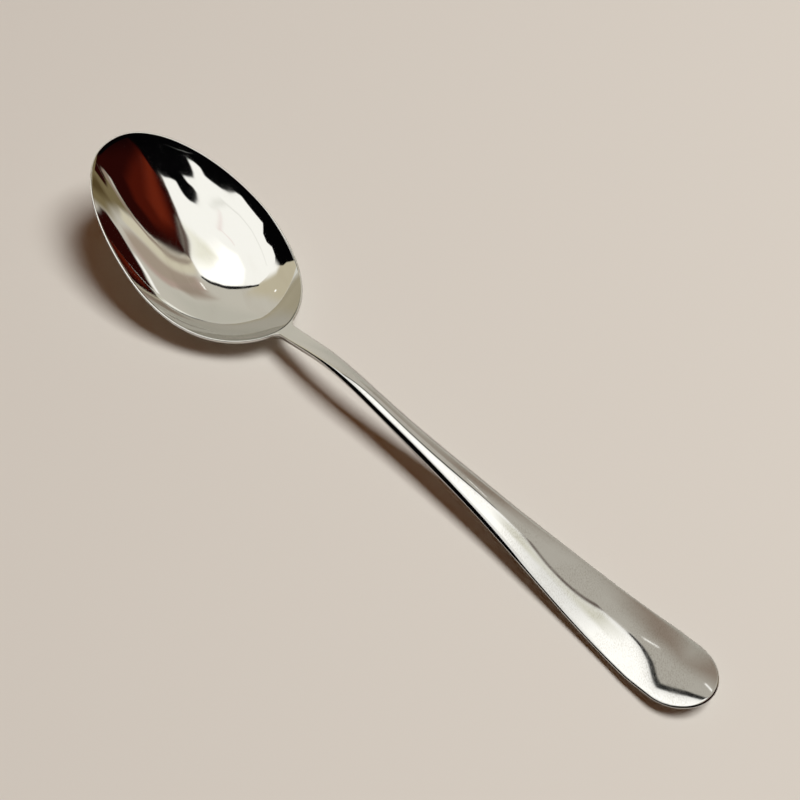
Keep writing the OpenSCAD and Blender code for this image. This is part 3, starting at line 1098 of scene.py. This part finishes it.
@dataclass(frozen=True)
class Sky:
    """Light round the spoon that only its reflections show: a far dome, and a card over it."""

    centre: tuple[float, float, float] = (-0.07, 0.0, 0.0)
    radius: float = 3.0
    dome_cells: int = 370
    reach: float = 92.5
    card_height: float = 0.42
    card_half: float = 0.56
    card_cells: int = 430
    glow: float = 1.64
    least_cover: float = 1e-6
    tints: SkyTints = field(default_factory=SkyTints)

    def build(self) -> list[bpy.types.Object]:
        """Makes the dome and the card.

        Returns:
            Both as objects.
        """
        return [self._dome(), self._card()]

    def _dome(self) -> bpy.types.Object:
        """Bends a round net, laid out in degrees from the zenith, into the dome.

        Returns:
            The dome as an object.
        """
        net = self._net(self.dome_cells, self.reach)
        far = [v for v in net.verts if v.co.length > self.reach]
        bmesh.ops.delete(net, geom=far, context="VERTS")
        spots = np.array([v.co.xy[:] for v in net.verts])
        for vert in net.verts:
            tilt = math.radians(vert.co.length)
            flat = vert.co.xy.normalized() * math.sin(tilt)
            vert.co = self.radius * Vector((flat.x, flat.y, math.cos(tilt)))
        bmesh.ops.translate(net, verts=net.verts, vec=Vector(self.centre))
        light = np.tile(rgba(self.tints.plain), (len(spots), 1))
        return self._lit("sky_dome", net, self._painted(light, dome_patches(self.tints), spots))

    def _card(self) -> bpy.types.Object:
        """Makes the card, clear where no patch covers it.

        Returns:
            The card as an object.
        """
        net = self._net(self.card_cells, self.card_half)
        spots = np.array([v.co.xy[:] for v in net.verts])
        bmesh.ops.translate(net, verts=net.verts, vec=Vector((0.0, 0.0, self.card_height)))
        light = np.zeros((len(spots), 4))
        return self._lit("sky_card", net, self._painted(light, card_patches(self.tints), spots))

    @staticmethod
    def _net(cells: int, half: float) -> bmesh.types.BMesh:
        """Makes a flat square net that faces down.

        Args:
            cells: number of cells along each side.
            half: half the length of a side.

        Returns:
            The net.
        """
        net = bmesh.new()
        bmesh.ops.create_grid(net, x_segments=cells, y_segments=cells, size=half)
        bmesh.ops.reverse_faces(net, faces=net.faces)
        return net

    def _painted(self, light: np.ndarray, patches: list[Patch], spots: np.ndarray) -> np.ndarray:
        """Lays patches over each other.

        Args:
            light: colour, weakened by the cover, and cover of each spot before any patch.
            patches: patches, the first one lowest.
            spots: place of each spot, in the patches' own units.

        Returns:
            Colour and cover of each spot.
        """
        for patch in patches:
            cover = patch.share(spots)[:, None]
            light = light * (1.0 - cover) + np.array(rgba(patch.tint)) * cover
        light[:, :3] /= np.maximum(light[:, 3:], self.least_cover)
        return light

    def _lit(self, name: str, net: bmesh.types.BMesh, light: np.ndarray) -> bpy.types.Object:
        """Makes a net into an object that shines in reflections alone.

        Args:
            name: name of the object.
            net: the net.
            light: colour and cover of each of its points.

        Returns:
            The object.
        """
        shape = placed(name, net)
        paint = shape.data.attributes.new(LIGHT, "FLOAT_COLOR", "POINT")
        paint.data.foreach_set("color", light.ravel())
        shape.data.materials.append(self._material(name))
        shape.visible_camera = False
        shape.visible_diffuse = False
        shape.visible_shadow = False
        return shape

    def _material(self, name: str) -> bpy.types.Material:
        """Makes light from the painted colours, and lets rays through where the cover is none.

        Args:
            name: name of the material.

        Returns:
            The material.
        """
        material = new_material(name)
        tree = material.node_tree
        tree.nodes.remove(tree.nodes["Principled BSDF"])
        paint = add_node(tree, "Attribute", attribute_name=LIGHT).outputs
        glow = add_node(tree, "Emission", {"Color": paint["Color"], "Strength": self.glow})
        clear = add_node(tree, "BsdfTransparent")
        surface = mixed(tree, paint["Alpha"], clear.outputs["BSDF"], glow.outputs["Emission"])
        tree.links.new(surface, tree.nodes["Material Output"].inputs["Surface"])
        return material


def sees_backdrop(tree: Tree) -> Socket:
    """Tells the rays that show the backdrop from those that light the scene.

    Args:
        tree: nodes of the floor's material or of the world.

    Returns:
        An output that is 1 for a ray from the camera, metal or glass, and 0 for any other.
    """
    path = add_node(tree, "LightPath").outputs
    seen = path["Is Camera Ray"]
    for kind in ("Is Glossy Ray", "Is Transmission Ray"):
        seen = joined(tree, Join.LARGER, seen, path[kind])
    return seen


@dataclass(frozen=True)
class Floor:
    """Plain pale floor, which turns into the backdrop far out and is clear from below."""

    half: float = 6.0
    tint: Tint = (0.845, 0.831, 0.796)
    gloss: float = 0.0
    fade_from: float = 0.4
    fade_to: float = 1.2

    def build(self) -> bpy.types.Object:
        """Lays the floor just under the spoon.

        Returns:
            The floor as an object.
        """
        slab = bmesh.new()
        bmesh.ops.create_grid(slab, x_segments=1, y_segments=1, size=self.half)
        floor = placed("floor", slab)
        floor.data.materials.append(self._material())
        return floor

    def _material(self) -> bpy.types.Material:
        """Makes the floor's paint, its fade into the backdrop and its clear back.

        Returns:
            The material.
        """
        material = new_material("floor_paint")
        tree = material.node_tree
        paint = tree.nodes["Principled BSDF"]
        paint.inputs["Base Color"].default_value = rgba(self.tint)
        paint.inputs["Specular IOR Level"].default_value = self.gloss
        place = add_node(tree, "TexCoord").outputs["Object"]
        reach = add_node(tree, "VectorMath", {0: place}, operation="LENGTH").outputs["Value"]
        far = stepped(tree, reach, self.fade_from, self.fade_to)
        shown = joined(tree, Join.TIMES, far, sees_backdrop(tree))
        backdrop = add_node(tree, "Emission", {"Color": rgba(BACKDROP)}).outputs["Emission"]
        front = mixed(tree, shown, paint.outputs["BSDF"], backdrop)
        back = add_node(tree, "NewGeometry").outputs["Backfacing"]
        surface = mixed(tree, back, front, add_node(tree, "BsdfTransparent").outputs["BSDF"])
        tree.links.new(surface, tree.nodes["Material Output"].inputs["Surface"])
        return material


@dataclass(frozen=True)
class KeyLight:
    """Soft lamp that throws the spoon's shadow."""

    towards: tuple[float, float, float] = (0.32, 0.3, 1.0)
    distance: float = 2.0
    length: float = 1.0
    width: float = 0.72
    power: float = 39.0

    def build(self) -> bpy.types.Object:
        """Hangs the lamp and aims it at the spoon.

        Returns:
            The lamp.
        """
        data = bpy.data.lights.new("key_light", "AREA")
        data.shape = "RECTANGLE"
        data.size = self.length
        data.size_y = self.width
        data.energy = self.power
        lamp = bpy.data.objects.new("key_light", data)
        bpy.context.scene.collection.objects.link(lamp)
        way = Vector(self.towards).normalized()
        across = Vector((0.0, 1.0, 0.0)).cross(way).normalized()
        turn = Matrix((across, way.cross(across), way)).transposed().to_4x4()
        lamp.matrix_world = Matrix.Translation(way * self.distance) @ turn
        lamp.visible_glossy = False
        return lamp


@dataclass(frozen=True)
class StudioAir:
    """Even light from all round, and the pale backdrop that the camera sees."""

    tint: Tint = (1.0, 0.62, 0.28)
    strength: float = 0.095

    def build(self) -> bpy.types.World:
        """Sets the scene's world.

        Returns:
            The world.
        """
        world = bpy.data.worlds.new("studio_air")
        world.use_nodes = True
        tree = world.node_tree
        air = tree.nodes["Background"]
        air.inputs["Color"].default_value = rgba(self.tint)
        air.inputs["Strength"].default_value = self.strength
        backdrop = add_node(tree, "Background", {"Color": rgba(BACKDROP)}).outputs["Background"]
        surface = mixed(tree, sees_backdrop(tree), air.outputs["Background"], backdrop)
        tree.links.new(surface, tree.nodes["World Output"].inputs["Surface"])
        bpy.context.scene.world = world
        return world


@dataclass(frozen=True)
class Noise:
    """Cloudy noise over the object: clouds to a metre, finer layers, and the range for a mask.

    It is read at the place on the object, turned about the upright axis by an angle in degrees and
    then stretched. The twist is how far the clouds are drawn about.
    """

    scale: float
    detail: float
    low: float = 0.0
    high: float = 1.0
    turn: float = 0.0
    stretch: tuple[float, float, float] = (1.0, 1.0, 1.0)
    twist: float = 0.0


class Effect:
    """Shader node group in the making, which puts out one value that changes over the surface."""

    def __init__(self, name: str, output: str = "Mask") -> None:
        """Starts the group.

        Args:
            name: name of the group.
            output: name of the value it puts out.
        """
        self.tree = bpy.data.node_groups.new(name, "ShaderNodeTree")
        self.tree.interface.new_socket(output, in_out="OUTPUT", socket_type="NodeSocketFloat")
        self._place = add_node(self.tree, "TexCoord").outputs["Object"]

    def noise(self, noise: Noise) -> Socket:
        """Makes cloudy noise from 0 to 1.

        Args:
            noise: its sizes.

        Returns:
            The noise as an output.
        """
        angle = math.radians(noise.turn)
        turned = add_node(self.tree, "VectorRotate", {"Vector": self._place, "Angle": angle},
                          rotation_type="Z_AXIS").outputs["Vector"]
        place = add_node(self.tree, "Mapping", {"Vector": turned, "Scale": noise.stretch})
        clouds = {"Vector": place.outputs["Vector"], "Scale": noise.scale,
                  "Detail": noise.detail, "Distortion": noise.twist}
        return add_node(self.tree, "TexNoise", clouds).outputs["Fac"]

    def mask(self, noise: Noise) -> Socket:
        """Makes a mask from noise, which rises over the noise's range."""
        return stepped(self.tree, self.noise(noise), noise.low, noise.high)

    def cells(self, scale: float) -> tuple[Socket, Socket]:
        """Scatters points over the object.

        Args:
            scale: points to a metre.

        Returns:
            The distance to the nearest point and a chance number for it, as outputs.
        """
        node = add_node(self.tree, "TexVoronoi", {"Vector": self._place, "Scale": scale})
        split = add_node(self.tree, "SeparateColor", {"Color": node.outputs["Color"]})
        return node.outputs["Distance"], split.outputs["Red"]

    def finished(self, *values: Socket) -> bpy.types.ShaderNodeTree:
        """Puts out the product of the values.

        Args:
            values: one value, or two that are multiplied.

        Returns:
            The finished group.
        """
        value = values[0] if len(values) == 1 else joined(self.tree, Join.TIMES, *values)
        result = self.tree.nodes.new("NodeGroupOutput")
        self.tree.links.new(value, result.inputs[0])
        return self.tree


@dataclass(frozen=True)
class WipeMarks:
    """Faint cloudy marks that a cloth and fingers leave on polished metal."""

    clouds: Noise = Noise(34.0, 5.0, 0.46, 0.72, stretch=(1.0, 1.4, 1.0), twist=0.6)
    streaks: Noise = Noise(22.0, 4.0, 0.4, 0.68, turn=24.0, stretch=(1.0, 7.0, 1.0))

    def group(self) -> bpy.types.ShaderNodeTree:
        """Makes the node group, with a mask that is 1 where a mark is strongest."""
        effect = Effect("wipe_marks")
        return effect.finished(effect.mask(self.clouds), effect.mask(self.streaks))


@dataclass(frozen=True)
class HairScratches:
    """Hair-fine scratches in two directions, thicker in some places than in others."""

    turns: tuple[float, float] = (11.0, -34.0)
    hairs: Noise = Noise(1.0, 1.0, 0.7, 0.76, stretch=(16.0, 2100.0, 16.0))
    places: Noise = Noise(45.0, 2.0, 0.44, 0.62)

    def group(self) -> bpy.types.ShaderNodeTree:
        """Makes the node group.

        Returns:
            The group, with a mask that is 1 in a scratch.
        """
        effect = Effect("hair_scratches")
        hairs = (effect.mask(replace(self.hairs, turn=turn)) for turn in self.turns)
        scratches = joined(effect.tree, Join.LARGER, *hairs)
        return effect.finished(scratches, effect.mask(self.places))


@dataclass(frozen=True)
class DustSpecks:
    """Specks of dust and dried drops, here and there."""

    points: float = 105.0
    size: tuple[float, float] = (0.055, 0.03)
    chance: tuple[float, float] = (0.72, 0.74)

    def group(self) -> bpy.types.ShaderNodeTree:
        """Makes the node group.

        Returns:
            The group, with a mask that is 1 in a speck.
        """
        effect = Effect("dust_specks")
        distance, number = effect.cells(self.points)
        return effect.finished(stepped(effect.tree, distance, *self.size),
                               stepped(effect.tree, number, *self.chance))


@dataclass(frozen=True)
class MirrorWaves:
    """Slight waves that pressing and polishing leave in sheet metal."""

    waves: Noise = Noise(75.0, 1.5)

    def group(self) -> bpy.types.ShaderNodeTree:
        """Makes the node group, with the height of the waves from 0 to 1."""
        effect = Effect("mirror_waves", "Height")
        return effect.finished(effect.noise(self.waves))


@dataclass(frozen=True)
class HandledGrain:
    """Fine grain of countless tiny scratches, which use leaves on a handle."""

    grain: Noise = Noise(1900.0, 2.0, 0.42, 0.68, turn=45.0, stretch=(1.0, 2.5, 1.0))
    clouds: Noise = Noise(120.0, 3.0, 0.3, 0.6)

    def group(self) -> bpy.types.ShaderNodeTree:
        """Makes the node group, with a mask that is 1 in a grain."""
        effect = Effect("handled_grain")
        return effect.finished(effect.mask(self.grain), effect.mask(self.clouds))


@dataclass(frozen=True)
class PolishedSteel:
    """Polished stainless steel of a well used serving spoon, with painted shade that darkens the
    handle's steel.
    """

    tint: Tint = (0.81, 0.805, 0.79)
    marked_tint: Tint = (0.785, 0.775, 0.755)
    # painted shade: the handle's steel is darker than the bowl's so that the handle's reflections
    # come out dimmer
    handle_shade_tint: Tint = (0.735, 0.73, 0.722)
    grain_tint: Tint = (0.68, 0.67, 0.655)
    speck_tint: Tint = (0.62, 0.6, 0.57)
    roughness: float = 0.035
    marked: float = 0.05
    scratched: float = 0.12
    specked: float = 0.32
    worn: float = 0.06
    grained: float = 0.025
    wave_height: float = 0.006 * MM
    scratch_depth: float = 0.0008 * MM

    def make(self) -> bpy.types.Material:
        """Builds the material.

        Returns:
            The finished material.
        """
        material = new_material("polished_steel")
        tree = material.node_tree
        kinds = WipeMarks, HairScratches, DustSpecks, MirrorWaves, HandledGrain
        marks, scratches, specks, waves, grain = (
            add_node(tree, "Group", node_tree=kind().group()).outputs[0] for kind in kinds)
        wear, handle_wear_and_shade = (add_node(tree, "Attribute", attribute_name=name).outputs["Fac"]
                      for name in (WEAR, HANDLE_WEAR_AND_SHADE))
        grain = joined(tree, Join.TIMES, grain, handle_wear_and_shade)
        rough: float | Socket = self.roughness
        for mask, amount in ((marks, self.marked), (scratches, self.scratched),
                             (wear, self.worn), (grain, self.grained), (specks, self.specked)):
            rough = add_node(tree, "Math", {0: mask, 1: amount, 2: rough},
                             operation="MULTIPLY_ADD").outputs["Value"]
        colour: tuple | Socket = rgba(self.tint)
        # the handle's share lays painted shade (darker steel) over the handle; the grain laid with
        # it is wear
        for mask, over in ((marks, self.marked_tint), (handle_wear_and_shade, self.handle_shade_tint),
                           (grain, self.grain_tint), (specks, self.speck_tint)):
            colour = self._laid(tree, mask, colour, over)
        bumps = {"Height": waves, "Strength": 1.0, "Distance": self.wave_height}
        waved = add_node(tree, "Bump", bumps).outputs["Normal"]
        bumps = {"Height": scratches, "Strength": 1.0, "Distance": self.scratch_depth,
                 "Normal": waved}
        scratched = add_node(tree, "Bump", bumps, invert=True).outputs["Normal"]
        shader = tree.nodes["Principled BSDF"]
        shader.inputs["Metallic"].default_value = 1.0
        tree.links.new(colour, shader.inputs["Base Color"])
        tree.links.new(rough, shader.inputs["Roughness"])
        tree.links.new(scratched, shader.inputs["Normal"])
        return material

    @staticmethod
    def _laid(tree: Tree, mask: Socket, under: tuple | Socket, over: Tint) -> Socket:
        """Lays a colour over another one.

        Args:
            tree: the material's nodes.
            mask: share of the upper colour.
            under: the lower colour, fixed or as an output.
            over: the upper colour.

        Returns:
            The colour as an output.
        """
        node = add_node(tree, "Mix", {"Factor": mask}, data_type="RGBA")
        lower, upper = (socket for socket in node.inputs if socket.type == "RGBA")
        if isinstance(under, Socket):
            tree.links.new(under, lower)
        else:
            lower.default_value = under
        upper.default_value = rgba(over)
        return next(socket for socket in node.outputs if socket.type == "RGBA")


def main() -> None:
    """Builds the spoon, its finish and the studio round it."""
    logging.basicConfig(level=logging.INFO, format="%(name)s: %(message)s")
    bpy.context.scene.view_settings.view_transform = "Standard"
    PhotoCamera().place()
    Floor().build()
    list(Sky().build())
    KeyLight().build()
    StudioAir().build()
    form = SpoonForm(BowlSizes(), HandleSizes(), SideView(), EdgeSizes())
    spoon = Spoon(form).build()
    spoon.data.materials.append(PolishedSteel().make())
    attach(spoon, BODY)
    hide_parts(NODE)
    log.info("%s: %d faces", spoon.name, len(spoon.data.polygons))


if __name__ == "__main__":
    main()
